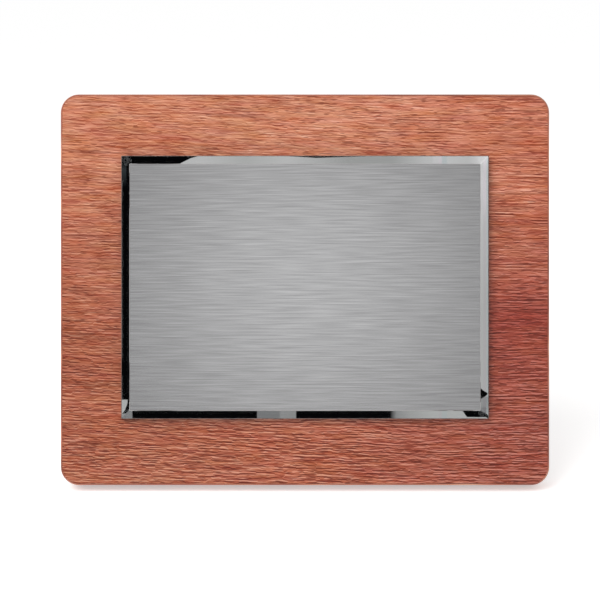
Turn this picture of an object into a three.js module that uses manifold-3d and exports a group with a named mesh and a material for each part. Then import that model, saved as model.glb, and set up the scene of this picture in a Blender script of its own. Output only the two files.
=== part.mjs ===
// A desk award plaque: a veneered board with a bevelled mirror and a blank brushed plate on its front,
// a keyhole hanger in its back, and a hinged strut leg that it leans on.
// Millimetres, +Z up, +X to the viewer's right, and the front faces -Y.
// The plaque stands as in use, leaning back on its open leg. The origin is the bottom centre of its box.

import * as THREE from "three";
import { ConvexGeometry } from "three/addons/geometries/ConvexGeometry.js";
import { mergeVertices } from "three/addons/utils/BufferGeometryUtils.js";
import Module from "manifold-3d";

const wasm = await Module();
wasm.setup();

// Driving dimensions. Heights on the board are measured from its bottom edge, and on the leg from the pin.

const LEAN = THREE.MathUtils.degToRad(15); // of the board, back from upright
const OPENING = THREE.MathUtils.degToRad(25); // between the board's back and the open leg
const GAP = 0.1; // what a glue line or a running fit leaves between two pieces
const STOP_GAP = 0.3; // between the hinge's stop tab and the leaf that it meets
const PAST = 1; // how far a cutter runs on past the face that it opens

const BOARD = { width: 254, height: 203.2, cornerRadius: 9.5, core: 15, veneer: 0.6 };
const BAND = { thickness: 0.8, arris: 0.7 }; // the strip glued round the edge, and its easing radius

const MIRROR = { width: 190, height: 136, thickness: 3, bevel: 4.3, bevelDrop: 0.9, aboveCentre: 1.3 };
const FILM = 0.2;
const TAPE = { width: 10, thickness: 1, inset: 9, endGap: 1 };
const PLATE = { width: 181, height: 127.2, thickness: 0.8, chamfer: 0.2, aboveCentre: 1.3 };
const ADHESIVE = { thickness: 0.15, inset: 1 };

const HANGER = {
  height: 184, // of its middle
  plate: { width: 44, height: 18, thickness: 1.5 },
  hole: { radius: 4.6, below: 2.6 }, // the round entry, and its centre below the middle
  slot: { radius: 2.3, above: 6 }, // half its width, and its last centre above the middle
  screwsOut: 17,
  pocket: { width: 13, height: 16.6, depth: 10, above: 1 },
};

const HINGE = {
  height: 142, // of the pin
  sheet: 1,
  pin: 1.25,
  bore: 1.35,
  barrel: 2.35,
  middleKnuckle: 12,
  knuckleGap: 0.3,
  cornerRadius: 3,
  boardLeaf: { width: 34, length: 25 },
  legLeaf: { width: 28, length: 22 },
  tab: { width: 8, length: 9 },
  pinHead: { radius: 2, tip: 1.2, length: 1 },
};
const BOARD_SCREWS = { left: [-11, 9], right: [11, 9], top: [0, 18] }; // across, and above the pin
const LEG_RIVETS = { left: [-8, -13], right: [8, -13] };

const LEG = { thickness: 6, belowPin: 3.2, neckWidth: 40, neckLength: 26, footWidth: 66, cornerRadius: 5 };
const PAD = { width: 13, thickness: 1, fromSide: 1, inset: 0.4 };
const BUMPER = { across: 112, height: 15, radius: 6, tipRadius: 4.8, length: 9, round: 1 };
const SCREW = { head: 3, rim: 0.2, shank: 1.4, length: 11, point: 2 };
const RECESS = { depth: 1.2, width: 0.7, reach: 1.7 }; // the cross in a screw's head
const RIVET = { head: 2.8, dome: 1.1, shank: 1.5, flare: 2.2, flareDepth: 0.7 };

// Depths of the board's layers, from its back face at y = 0 to its front

const CORE_BACK = -BOARD.veneer - GAP;
const FRONT_VENEER_BACK = CORE_BACK - BOARD.core - GAP;
const BOARD_FRONT = FRONT_VENEER_BACK - BOARD.veneer;
const TAPE_BACK = BOARD_FRONT - GAP;
const FILM_BACK = TAPE_BACK - TAPE.thickness - GAP;
const GLASS_BACK = FILM_BACK - FILM - GAP;
const ADHESIVE_BACK = GLASS_BACK - MIRROR.thickness - GAP;
const PLATE_BACK = ADHESIVE_BACK - ADHESIVE.thickness - GAP;
const BOARD_MIDDLE = BOARD.height / 2;
const MIRROR_MIDDLE = BOARD_MIDDLE + MIRROR.aboveCentre;

// Places round the hinge, whose own axes meet at its pin. The leg is drawn shut, hanging from the pin.

const LEAF_OUTER = -HINGE.barrel + HINGE.sheet;
const LEAF_INNER = -HINGE.barrel;
const LEG_INNER = LEAF_OUTER + GAP;
const LEG_OUTER = LEG_INNER + LEG.thickness;
const LEG_LEAN = OPENING - LEAN; // of the open leg, out from the vertical
const ARRIS_LOSS = BAND.arris * (Math.cos(LEAN) + Math.sin(LEAN) - 1); // the reach that an eased corner loses
const PIN_BACK = HINGE.barrel + GAP;
const PIN_HEIGHT = HINGE.height * Math.cos(LEAN) - PIN_BACK * Math.sin(LEAN) - ARRIS_LOSS; // above the desk

const SEGMENTS = { corner: 10, round: 32, small: 20, arris: 4 };
const SLIVER = 1e-3; // the straight stretch left between two round corners that meet

// Finishes

function finish(color, roughness, metalness = 0) {
  return new THREE.MeshStandardMaterial({ color, roughness, metalness });
}

const FINISHES = {
  mahogany: finish(0xb96d52, 0.5),
  edge: finish(0x7a3f30, 0.5),
  backVeneer: finish(0x9c5a43, 0.6),
  fibreboard: finish(0xb89468, 0.9),
  glass: finish(0xc9d6d2, 0.05),
  film: finish(0x6f7378, 0.6),
  foam: finish(0xe6e4de, 0.9),
  adhesive: finish(0xd8d6c8, 0.7),
  brushed: finish(0xa6a6a6, 0.35, 1),
  zincPlated: finish(0xb9bcc0, 0.35, 1),
  strutWood: finish(0x8a4c39, 0.5),
  rubber: finish(0x1d1d1f, 0.8),
};

// Solids and cuts

/** The geometry's closed solid, for cutting and joining. */
function solid(geometry) {
  const bare = geometry.clone();
  bare.deleteAttribute("normal");
  bare.deleteAttribute("uv");
  const merged = mergeVertices(bare, 1e-4);
  const vertProperties = new Float32Array(merged.attributes.position.array);
  const triVerts = new Uint32Array(merged.index.array);
  return new wasm.Manifold(new wasm.Mesh({ numProp: 3, vertProperties, triVerts }));
}

/** The solid's faces as a flat-shaded geometry. */
function geometryOf(made) {
  const { vertProperties, triVerts } = made.getMesh();
  const indexed = new THREE.BufferGeometry()
    .setAttribute("position", new THREE.BufferAttribute(vertProperties, 3))
    .setIndex(new THREE.BufferAttribute(triVerts, 1));
  const faces = indexed.toNonIndexed();
  faces.computeVertexNormals();
  return faces;
}

/** Joins the geometries in `parts`, then takes away those in `cuts`. */
function carve(parts, cuts = []) {
  const joined = parts.map(solid).reduce((a, b) => a.add(b));
  return geometryOf(cuts.map(solid).reduce((a, b) => a.subtract(b), joined));
}

/** A slab standing in the X-Z plane: `shape` drawn in X and Z, from `back` forwards by `thickness`. */
function slab(shape, back, thickness) {
  return new THREE.ExtrudeGeometry(shape, {
    depth: thickness,
    bevelEnabled: false,
    curveSegments: SEGMENTS.corner,
  })
    .rotateX(Math.PI / 2)
    .translate(0, back, 0);
}

/** A rectangle with round corners, centred on (x, z). */
function roundedRectangle(width, height, radius, x = 0, z = 0) {
  const [w, h] = [width / 2, height / 2];
  const shape = new THREE.Shape();
  shape.absarc(x + w - radius, z - h + radius, radius, -Math.PI / 2, 0);
  shape.absarc(x + w - radius, z + h - radius, radius, 0, Math.PI / 2);
  shape.absarc(x - w + radius, z + h - radius, radius, Math.PI / 2, Math.PI);
  shape.absarc(x - w + radius, z - h + radius, radius, Math.PI, Math.PI * 1.5);
  return shape;
}

/** An upright or lying outline whose shorter sides are round, centred at height z. */
function roundEnded(width, height, z) {
  const radius = Math.min(width, height) / 2;
  return roundedRectangle(width, height, radius - SLIVER, 0, z);
}

/** A box between two depths, centred on (x, z). */
function block(width, height, back, thickness, x = 0, z = 0) {
  return new THREE.BoxGeometry(width, thickness, height).translate(x, back - thickness / 2, z);
}

/** A round bar along Y, from `back` forwards by `length`. */
function bar(radius, length, back, x, z, segments = SEGMENTS.small) {
  return new THREE.CylinderGeometry(radius, radius, length, segments).translate(x, back - length / 2, z);
}

/** A plate whose front edge slopes in: `slope` wide and `drop` deep. */
function slopedPlate({ width, height, thickness, aboveCentre }, slope, drop, back) {
  const middle = BOARD_MIDDLE + aboveCentre;
  const front = back - thickness;
  const corners = [];
  for (const [inset, y] of [[0, back], [0, front + drop], [slope, front]]) {
    for (const x of [width / 2 - inset, inset - width / 2]) {
      for (const z of [height / 2 - inset, inset - height / 2]) {
        corners.push(new THREE.Vector3(x, y, middle + z));
      }
    }
  }
  return new ConvexGeometry(corners);
}

/** A closed frame round the board's outline: `section` lists points as [inset from the outline, depth]. */
function frameRound(section) {
  const [w, h, r] = [BOARD.width / 2, BOARD.height / 2, BOARD.cornerRadius];
  const stations = [];
  for (const [i, corner] of [[1, -1], [1, 1], [-1, 1], [-1, -1]].entries()) {
    for (let k = 0; k <= SEGMENTS.corner; k++) {
      const angle = (Math.PI / 2) * (i - 1 + k / SEGMENTS.corner);
      stations.push({ x: corner[0] * (w - r), z: BOARD_MIDDLE + corner[1] * (h - r), angle });
    }
  }
  const position = stations.flatMap(({ x, z, angle }) =>
    section.flatMap(([inset, y]) => {
      const reach = r - inset;
      return [x + reach * Math.cos(angle), y, z + reach * Math.sin(angle)];
    }),
  );
  const [n, m] = [stations.length, section.length];
  const index = [];
  for (let i = 0; i < n; i++) {
    for (let j = 0; j < m; j++) {
      const [a, b] = [i * m + j, i * m + ((j + 1) % m)];
      const [c, d] = [((i + 1) % n) * m + j, ((i + 1) % n) * m + ((j + 1) % m)];
      index.push(a, d, b, a, c, d);
    }
  }
  const geometry = new THREE.BufferGeometry();
  geometry.setAttribute("position", new THREE.Float32BufferAttribute(position, 3)).setIndex(index);
  geometry.computeVertexNormals();
  return geometry;
}

/** A quarter turn of points round (a, b), from the angle `from`, with the radii `across` and `along`. */
function quarterTurn(a, b, across, along = across, from = 0) {
  return Array.from({ length: SEGMENTS.arris + 1 }, (_, k) => {
    const angle = from + (Math.PI / 2) * (k / SEGMENTS.arris);
    return [a + across * Math.cos(angle), b + along * Math.sin(angle)];
  });
}

/** A profile of [radius, distance] turned round the Y axis, at (x, y, z). */
function turned(profile, x, y, z, segments = SEGMENTS.small) {
  const points = profile.map(([radius, along]) => new THREE.Vector2(radius, along));
  return new THREE.LatheGeometry(points, segments).translate(x, y, z);
}

function piece(name, geometry, material) {
  const mesh = new THREE.Mesh(geometry, material);
  mesh.name = name;
  return mesh;
}

// The board

/** The outline of the core and the veneers, inside the edge band. */
function faceOutline() {
  const inset = BAND.thickness + GAP;
  const [width, height] = [BOARD.width - 2 * inset, BOARD.height - 2 * inset];
  return roundedRectangle(width, height, BOARD.cornerRadius - inset, 0, BOARD_MIDDLE);
}

/** The hanger's outline with round ends, or with `grow` that of its recess. */
function hangerOutline(grow = 0) {
  const { width, height } = HANGER.plate;
  return roundEnded(width + 2 * grow, height + 2 * grow, HANGER.height);
}

/** The recess that takes the hanger's plate, cut from behind the board. */
function hangerRecess() {
  return slab(hangerOutline(GAP), PAST, PAST + HANGER.plate.thickness + GAP);
}

/** The deeper pocket behind the hanger's keyhole, where the wall screw's head goes. */
function headPocket() {
  const { width, height, depth, above } = HANGER.pocket;
  return slab(roundEnded(width, height, HANGER.height + above), PAST, PAST + depth);
}

/** The holes for the hinge's and the hanger's screws. */
function screwHoles() {
  const leafFace = PIN_BACK + LEAF_OUTER;
  const places = [
    ...Object.values(BOARD_SCREWS).map(([x, up]) => [x, leafFace, HINGE.height + up]),
    ...[-1, 1].map((side) => [side * HANGER.screwsOut, 0, HANGER.height]),
  ];
  return places.map(([x, y, z]) => screwHole(x, y, z));
}

function board() {
  const core = slab(faceOutline(), CORE_BACK, BOARD.core);
  const back = slab(faceOutline(), 0, BOARD.veneer);
  const front = slab(faceOutline(), FRONT_VENEER_BACK, BOARD.veneer);
  const { thickness, arris } = BAND;
  const section = [
    [thickness, 0],
    ...quarterTurn(arris, -arris, arris, arris, Math.PI / 2),
    ...quarterTurn(arris, BOARD_FRONT + arris, arris, arris, Math.PI),
    [thickness, BOARD_FRONT],
  ];
  return [
    piece("board_core", carve([core], [hangerRecess(), headPocket(), ...screwHoles()]), FINISHES.fibreboard),
    piece("front_veneer", front, FINISHES.mahogany),
    piece("back_veneer", carve([back], [hangerRecess(), ...screwHoles()]), FINISHES.backVeneer),
    piece("edge_band", frameRound(section), FINISHES.edge),
  ];
}

// The mirror and the brushed plate

/** The foam strips behind the mirror: two upright ones, and two lying between them. */
function tapes() {
  const [x, z] = [MIRROR.width / 2 - TAPE.inset, MIRROR.height / 2 - TAPE.inset];
  const upright = 2 * z + TAPE.width;
  const lying = 2 * (x - TAPE.endGap) - TAPE.width;
  const strips = {
    top: [lying, TAPE.width, 0, z],
    bottom: [lying, TAPE.width, 0, -z],
    left: [TAPE.width, upright, -x, 0],
    right: [TAPE.width, upright, x, 0],
  };
  return Object.entries(strips).map(([name, [width, height, across, up]]) => {
    const strip = block(width, height, TAPE_BACK, TAPE.thickness, across, MIRROR_MIDDLE + up);
    return piece(`mirror_tape_${name}`, strip, FINISHES.foam);
  });
}

function mirror() {
  const { width, height } = MIRROR;
  const film = block(width, height, FILM_BACK, FILM, 0, MIRROR_MIDDLE);
  const glass = slopedPlate(MIRROR, MIRROR.bevel, MIRROR.bevelDrop, GLASS_BACK);
  return [piece("mirror_backing_film", film, FINISHES.film), piece("mirror_glass", glass, FINISHES.glass)];
}

function plate() {
  const [width, height] = [PLATE.width - 2 * ADHESIVE.inset, PLATE.height - 2 * ADHESIVE.inset];
  const sheet = block(width, height, ADHESIVE_BACK, ADHESIVE.thickness, 0, MIRROR_MIDDLE);
  const metal = slopedPlate(PLATE, PLATE.chamfer, PLATE.chamfer, PLATE_BACK);
  return [piece("plate_adhesive", sheet, FINISHES.adhesive), piece("brushed_plate", metal, FINISHES.brushed)];
}

// Screws and rivets

/** A countersunk screw with a cross recess, its head flush with depth `y`. */
function screw(name, x, y, z) {
  const { head, rim, shank, length, point } = SCREW;
  const neck = rim + head - shank; // a 90 degree cone drops as far as it narrows
  const profile = [
    [0, -length],
    [shank, point - length],
    [shank, -neck],
    [head, -rim],
    [head, 0],
    [0, 0],
  ];
  const { depth, width, reach } = RECESS;
  const cross = [
    block(2 * reach, width, y + PAST, PAST + depth, x, z),
    block(width, 2 * reach, y + PAST, PAST + depth, x, z),
  ];
  return piece(name, carve([turned(profile, x, y, z)], cross), FINISHES.zincPlated);
}

/** The hole that a screw sits in, a gap wider all round, cut down from depth `y`. */
function screwHole(x, y, z) {
  const { head, rim, shank, length } = SCREW;
  const [wide, narrow] = [head + GAP, shank + GAP];
  const profile = [
    [0, -length - PAST],
    [narrow, -length - PAST],
    [narrow, -rim - GAP - (wide - narrow)],
    [wide, -rim - GAP],
    [wide, PAST],
    [0, PAST],
  ];
  return turned(profile, x, y, z);
}

// The keyhole hanger

/** What cuts the keyhole: a round entry, a slot up from it and the slot's round end. */
function keyhole() {
  const { hole, slot, height } = HANGER;
  const through = HANGER.plate.thickness + 2 * PAST;
  const length = hole.below + slot.above;
  const entry = height - hole.below;
  return [
    bar(hole.radius, through, PAST, 0, entry, SEGMENTS.round),
    block(2 * slot.radius, length, PAST, through, 0, entry + length / 2),
    bar(slot.radius, through, PAST, 0, entry + length, SEGMENTS.round),
  ];
}

function hanger() {
  const places = { left: -HANGER.screwsOut, right: HANGER.screwsOut };
  const holes = Object.values(places).map((x) => screwHole(x, 0, HANGER.height));
  const plate = carve([slab(hangerOutline(), 0, HANGER.plate.thickness)], [...keyhole(), ...holes]);
  return [
    piece("keyhole_hanger", plate, FINISHES.zincPlated),
    ...Object.entries(places).map(([name, x]) => screw(`hanger_screw_${name}`, x, 0, HANGER.height)),
  ];
}

// The strut hinge, drawn round its pin

/** A round bar along X, centred on the pin's axis. */
function barrel(radius, length, x = 0) {
  return new THREE.CylinderGeometry(radius, radius, length, SEGMENTS.round)
    .rotateZ(Math.PI / 2)
    .translate(x, 0, 0);
}

/** A hinge leaf's plate, square at the pin: up from the pin's height, or down where `way` is -1. */
function leafPlate({ width, length }, way) {
  const { cornerRadius, sheet } = HINGE;
  const rounded = roundedRectangle(width, length, cornerRadius, 0, (way * length) / 2);
  const square = block(width, length / 2, LEAF_OUTER, sheet, 0, (way * length) / 4);
  return [slab(rounded, LEAF_OUTER, sheet), square];
}

/** A cutter that clears a leaf's plate beside a knuckle, centred on x. */
function knuckleRoom(width, x) {
  const depth = 2 * (HINGE.barrel + PAST);
  return block(width, 2 * (HINGE.barrel + HINGE.knuckleGap), depth / 2, depth, x);
}

function boardLeaf() {
  const { middleKnuckle, knuckleGap, bore, barrel: radius, boardLeaf: leaf } = HINGE;
  const holes = Object.values(BOARD_SCREWS).map(([x, up]) => screwHole(x, LEAF_OUTER, up));
  const cuts = [knuckleRoom(middleKnuckle + 2 * knuckleGap, 0), barrel(bore, leaf.width + PAST), ...holes];
  return carve([...leafPlate(leaf, 1), barrel(radius, leaf.width)], cuts);
}

/** The leg's leaf, open: its plate turned out with the leg, and its stop tab standing along the board. */
function legLeaf() {
  const { middleKnuckle, bore, barrel: radius, legLeaf: leaf, boardLeaf: other, sheet, tab } = HINGE;
  const sides = [-1, 1].map((side) => knuckleRoom(other.width, (side * (other.width + middleKnuckle)) / 2));
  const seats = Object.values(LEG_RIVETS).map(([x, z]) => flareSeat(x, z));
  const plate = carve(leafPlate(leaf, -1), [...sides, ...seats]).rotateX(OPENING);
  const stop = block(tab.width, tab.length, LEAF_OUTER + STOP_GAP + sheet, sheet, 0, tab.length / 2);
  return carve([plate, barrel(radius, middleKnuckle), stop], [barrel(bore, middleKnuckle + PAST)]);
}

function hingePin() {
  const { pin, pinHead: head, boardLeaf: leaf } = HINGE;
  const end = leaf.width / 2 + GAP;
  const halfProfile = [
    [pin, end],
    [head.radius, end],
    [head.tip, end + head.length],
    [0, end + head.length],
  ];
  const mirrored = halfProfile.map(([radius, along]) => [radius, -along]).reverse();
  return turned([...mirrored, ...halfProfile], 0, 0, 0, SEGMENTS.round).rotateZ(Math.PI / 2);
}

// The strut leg

/** How far down the leg, at its depth y, a height above the desk lies when the leg is open. */
function downTo(height, y) {
  return (PIN_HEIGHT - height + y * Math.sin(LEG_LEAN)) / Math.cos(LEG_LEAN);
}

/** How far behind the pin the leg's sole lies, at the leg's depth y, when the leg is open. */
function soleBack(y) {
  return y * Math.cos(LEG_LEAN) + downTo(PAD.thickness + GAP, y) * Math.sin(LEG_LEAN);
}

/** The seat in the leaf that takes a rivet's flared end. */
function flareSeat(x, z) {
  const { shank, flare, flareDepth } = RIVET;
  const profile = [
    [0, -PAST],
    [flare + GAP, -PAST],
    [flare + GAP, 0],
    [shank + GAP, flareDepth + GAP],
    [shank + GAP, HINGE.sheet + PAST],
    [0, HINGE.sheet + PAST],
  ];
  return turned(profile, x, LEAF_INNER, z);
}

/** A rivet from the leaf's inner face, through the leg, to its dome on the leg's outer face. */
function rivet(x, z) {
  const { head, dome, shank, flare, flareDepth } = RIVET;
  const reach = LEG_OUTER + GAP - LEAF_INNER;
  const crown = quarterTurn(0, reach, head, dome).slice(0, -1);
  const profile = [[0, 0], [flare, 0], [shank, flareDepth], [shank, reach], ...crown, [0, reach + dome]];
  return turned(profile, x, LEAF_INNER, z);
}

/** The leg's outline: a straight neck with round corners, and sides that spread to the foot. */
function legOutline() {
  const [neck, foot] = [LEG.neckWidth / 2, LEG.footWidth / 2];
  const top = -LEG.belowPin;
  const bottom = -downTo(0, LEG_OUTER);
  const r = LEG.cornerRadius;
  const shape = new THREE.Shape();
  shape.absarc(-neck + r, top - r, r, Math.PI / 2, Math.PI);
  shape.lineTo(-neck, -LEG.neckLength);
  shape.lineTo(-foot, bottom);
  shape.lineTo(foot, bottom);
  shape.lineTo(neck, -LEG.neckLength);
  shape.absarc(neck - r, top - r, r, 0, Math.PI / 2);
  return shape;
}

/** What lies under the sole when the leg is open, to cut it level with the desk. */
function underSole() {
  const size = 2 * LEG.footWidth;
  return new THREE.BoxGeometry(size, size, size)
    .translate(0, 0, PAD.thickness + GAP - size / 2 - PIN_HEIGHT)
    .rotateX(-LEG_LEAN);
}

/** A rubber pad under one end of the sole, level with the desk when the leg is open. */
function footPad(side) {
  const { width, thickness, fromSide, inset: around } = PAD;
  const [inner, outer] = [soleBack(LEG_INNER), soleBack(LEG_OUTER)];
  const across = LEG.footWidth / 2 - fromSide - width / 2;
  return new THREE.BoxGeometry(width, outer - inner - 2 * around, thickness)
    .translate(side * across, (inner + outer) / 2, thickness / 2 - PIN_HEIGHT)
    .rotateX(-LEG_LEAN);
}

function leg() {
  const radius = RIVET.shank + GAP;
  const through = LEG.thickness + 2 * PAST;
  const bores = Object.values(LEG_RIVETS).map(([x, z]) => bar(radius, through, LEG_OUTER + PAST, x, z));
  const wood = carve([slab(legOutline(), LEG_OUTER, LEG.thickness)], [underSole(), ...bores]);
  const strut = new THREE.Group();
  strut.add(
    piece("strut_leg", wood, FINISHES.strutWood),
    piece("foot_pad_left", footPad(-1), FINISHES.rubber),
    piece("foot_pad_right", footPad(1), FINISHES.rubber),
  );
  for (const [name, [x, z]] of Object.entries(LEG_RIVETS)) {
    strut.add(piece(`leg_rivet_${name}`, rivet(x, z), FINISHES.zincPlated));
  }
  strut.rotation.x = OPENING;
  return strut;
}

/** The hinge with the open leg on it. */
function easel() {
  const group = new THREE.Group();
  group.add(
    piece("hinge_board_leaf", boardLeaf(), FINISHES.zincPlated),
    piece("hinge_leg_leaf", legLeaf(), FINISHES.zincPlated),
    piece("hinge_pin", hingePin(), FINISHES.zincPlated),
    ...Object.entries(BOARD_SCREWS).map(([name, [x, up]]) => screw(`hinge_screw_${name}`, x, LEAF_OUTER, up)),
    leg(),
  );
  group.position.set(0, PIN_BACK, HINGE.height);
  return group;
}

// The wall bumpers

function bumper(side) {
  const { across, height, radius, tipRadius, length, round } = BUMPER;
  const tip = quarterTurn(tipRadius - round, length - round, round);
  return turned([[0, 0], [radius, 0], ...tip, [0, length]], side * across, GAP, height, SEGMENTS.round);
}

// The whole plaque, leaning back, with the bottom centre of its box at the origin

const FRONT_REACH = -BOARD_FRONT * Math.cos(LEAN) - ARRIS_LOSS;
const BACK_REACH = HINGE.height * Math.sin(LEAN) + PIN_BACK * Math.cos(LEAN) + soleBack(LEG_OUTER);

const plaque = new THREE.Group();
plaque.rotation.x = -LEAN;
plaque.position.set(0, (FRONT_REACH - BACK_REACH) / 2, -ARRIS_LOSS);
plaque.add(
  ...board(),
  ...tapes(),
  ...mirror(),
  ...plate(),
  ...hanger(),
  easel(),
  piece("wall_bumper_left", bumper(-1), FINISHES.rubber),
  piece("wall_bumper_right", bumper(1), FINISHES.rubber),
);

const part = new THREE.Group();
part.add(plaque);

export default part;
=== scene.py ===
"""An award plaque: a veneered board, a bevelled mirror and a blank brushed plate, on an easel strut.

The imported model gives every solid. This script gives each one its finish, puts a rear-silvered mirror and a
plate with cut edges in place of the plain ones, and sets up the studio and the camera.
"""

from __future__ import annotations

import logging
import math
from dataclasses import dataclass, field
from enum import Enum
from typing import Any, Iterable, Mapping, Sequence, Union

import bpy
import numpy as np
from mathutils import Euler, Matrix, Vector


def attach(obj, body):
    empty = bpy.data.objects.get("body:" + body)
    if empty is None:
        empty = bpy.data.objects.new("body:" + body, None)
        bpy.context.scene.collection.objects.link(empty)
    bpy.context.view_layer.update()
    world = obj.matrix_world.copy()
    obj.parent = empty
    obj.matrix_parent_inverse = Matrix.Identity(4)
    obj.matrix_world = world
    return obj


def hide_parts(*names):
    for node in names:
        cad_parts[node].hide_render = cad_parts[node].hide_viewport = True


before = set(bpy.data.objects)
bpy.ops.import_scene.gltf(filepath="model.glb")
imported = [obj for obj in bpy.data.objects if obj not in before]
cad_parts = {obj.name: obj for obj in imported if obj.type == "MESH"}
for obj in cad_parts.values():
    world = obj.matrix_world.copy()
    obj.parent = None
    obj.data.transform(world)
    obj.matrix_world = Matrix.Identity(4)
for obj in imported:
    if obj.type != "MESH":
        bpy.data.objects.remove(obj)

LOG = logging.getLogger("plaque")
MM = 0.001
Tree = bpy.types.NodeTree
Node = bpy.types.Node
Source = Union[Node, bpy.types.NodeSocket]
Key = Union[str, int]
Inputs = dict[Key, Any]


@dataclass(frozen=True)
class Stance:
    """How a sub-assembly stands in the row frame: its turn about the width axis, then its place.

    Args:
        turn: degrees about X.
        place: the sub-assembly's own origin, in mm.
    """

    turn: float
    place: tuple[float, float, float]

    def matrix(self) -> np.ndarray:
        """The turn as a 3 by 3 matrix."""
        return np.array(Matrix.Rotation(math.radians(self.turn), 3, "X"))

    def to_row(self, points: np.ndarray) -> np.ndarray:
        """Moves points from the sub-assembly's mm to the row frame's metres: turned, plus the place."""
        return (points @ self.matrix().T + np.array(self.place)) * MM


# The board leans back 15 degrees, and the open leg stands 10 degrees out from upright, about the hinge pin
BOARD = Stance(-15.0, (0.0, -26.055, -0.157))
STRUT = Stance(10.0, (0.0, 13.064, 136.370))
# Half the board's width, and the height of the mirror's and the plate's middle
HALF_BOARD = 127.0
FACE_MIDDLE = 102.9


def linear(code: str) -> tuple[float, float, float, float]:
    """Turns an sRGB hex colour into linear red, green, blue and an alpha of 1.

    Args:
        code: six hex digits after a hash.

    Returns:
        The linear colour.
    """
    values = np.array([int(code[i : i + 2], 16) for i in (1, 3, 5)]) / 255
    curved = np.where(values <= 0.04045, values / 12.92, ((values + 0.055) / 1.055) ** 2.4)
    return (*curved.tolist(), 1.0)


def add(tree: Tree, kind: str, inputs: Mapping[Key, Any] | None = None) -> Node:
    """Adds a node to a tree, with its properties, values and links.

    Args:
        tree: the node tree.
        kind: the node's type name, less the word ShaderNode.
        inputs: by node property, socket name or number, a value, an output that feeds the socket, or a node,
            which stands for its first output in use.

    Returns:
        The node.
    """
    node = tree.nodes.new(f"ShaderNode{kind}")
    inputs = inputs or {}
    own = [key for key in inputs if isinstance(key, str) and hasattr(node, key)]
    for key in own:
        setattr(node, key, inputs[key])
    for key, value in inputs.items():
        if isinstance(value, Node):
            value = next(output for output in value.outputs if output.enabled)
        if isinstance(value, bpy.types.NodeSocket):
            tree.links.new(value, node.inputs[key])
        elif key not in own:
            node.inputs[key].default_value = value
    return node


def span(value: Source, low: float, high: float, first: float = 0.0, last: float = 1.0) -> Inputs:
    """The inputs that carry a value from one range to another."""
    return {"Value": value, "From Min": low, "From Max": high, "To Min": first, "To Max": last}


def new_material(name: str) -> tuple[bpy.types.Material, Tree]:
    """Starts a material with an empty node tree.

    Args:
        name: the finish's name.

    Returns:
        The material and its tree.
    """
    material = bpy.data.materials.new(name)
    material.use_nodes = True
    material.node_tree.nodes.clear()
    return material, material.node_tree


def set_stops(ramp: Node, stops: Sequence[tuple[float, str]]) -> None:
    """Fills a colour ramp.

    Args:
        ramp: the ramp's node.
        stops: pairs of position and hex colour.
    """
    elements = ramp.color_ramp.elements
    while len(elements) < len(stops):
        elements.new(0.5)
    for element, (position, shade) in zip(elements, stops):
        element.position = position
        element.color = linear(shade)


@dataclass(frozen=True)
class Canvas:
    """A material's node tree and the shaded point, which the patterns are drawn by.

    Args:
        tree: the node tree.
        place: the point in the sub-assembly's own mm.
    """

    tree: Tree
    place: Source

    @classmethod
    def on(cls, tree: Tree, stance: Stance, spin: float = 0.0) -> Canvas:
        """Starts a canvas from the object's coordinates.

        Args:
            tree: the node tree.
            stance: how the sub-assembly stands.
            spin: degrees about its depth axis, so that the grain's length lies along X.

        Returns:
            The canvas.
        """
        turn = Matrix(stance.matrix()) @ Matrix.Rotation(math.radians(spin), 3, "Y")
        inputs = {
            "vector_type": "TEXTURE",
            "Vector": add(tree, "TexCoord").outputs["Object"],
            "Location": tuple(value * MM for value in stance.place),
            "Rotation": turn.to_euler("XYZ"),
            "Scale": (MM, MM, MM),
        }
        return cls(tree, add(tree, "Mapping", inputs))

    def in_spots(self, size: Sequence[float], shift: float, rise: float) -> Node:
        """Measures the point in spots of a pattern.

        Args:
            size: the spots' length, depth and height in mm.
            shift: moves the pattern by this along its length, so that two layers differ, and by other shares
                of it along the other axes.
            rise: how many spots higher the pattern is read.

        Returns:
            The scaled point.
        """
        offset = (shift, 2.3 * shift, 0.7 * shift + rise)
        inputs = {"operation": "MULTIPLY_ADD", 0: self.place, 1: tuple(1 / side for side in size), 2: offset}
        return add(self.tree, "VectorMath", inputs)

    def noise(
        self,
        size: Sequence[float],
        detail: float = 2.0,
        roughness: float = 0.5,
        shift: float = 0.0,
        rise: float = 0.0,
    ) -> Node:
        """Noise whose spots have a given size in mm along each axis.

        Args:
            size: the spots' length, depth and height.
            detail: how many finer layers are added.
            roughness: how strong the finer layers are.
            shift: moves the pattern.
            rise: how many spots higher it is read.

        Returns:
            The noise, which averages a half.
        """
        layers = {"Scale": 1.0, "Detail": detail, "Roughness": roughness}
        return add(self.tree, "TexNoise", layers | {"Vector": self.in_spots(size, shift, rise)})

    def level_streaks(self, size: Sequence[float], shift: float, dashed: bool) -> Node:
        """Streaks with no broad patches: a pattern less the same one read a little higher.

        Args:
            size: the streaks' length, depth and height in mm.
            shift: moves the pattern.
            dashed: whether they are level dashes from a cell pattern, not lines that run into each other.

        Returns:
            The difference, which averages nought.
        """
        pair = []
        for rise in (0.0, 1.0 if dashed else 0.67):
            if dashed:
                point = self.in_spots(size, shift, rise)
                cells = add(self.tree, "TexVoronoi", {"Vector": point, "Scale": 1.0})
                pair.append(add(self.tree, "SeparateColor", {"Color": cells.outputs["Color"]}))
            else:
                pair.append(self.noise(size, 0.0, shift=shift, rise=rise))
        return add(self.tree, "Math", {"operation": "SUBTRACT", 0: pair[0], 1: pair[1]})


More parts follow.
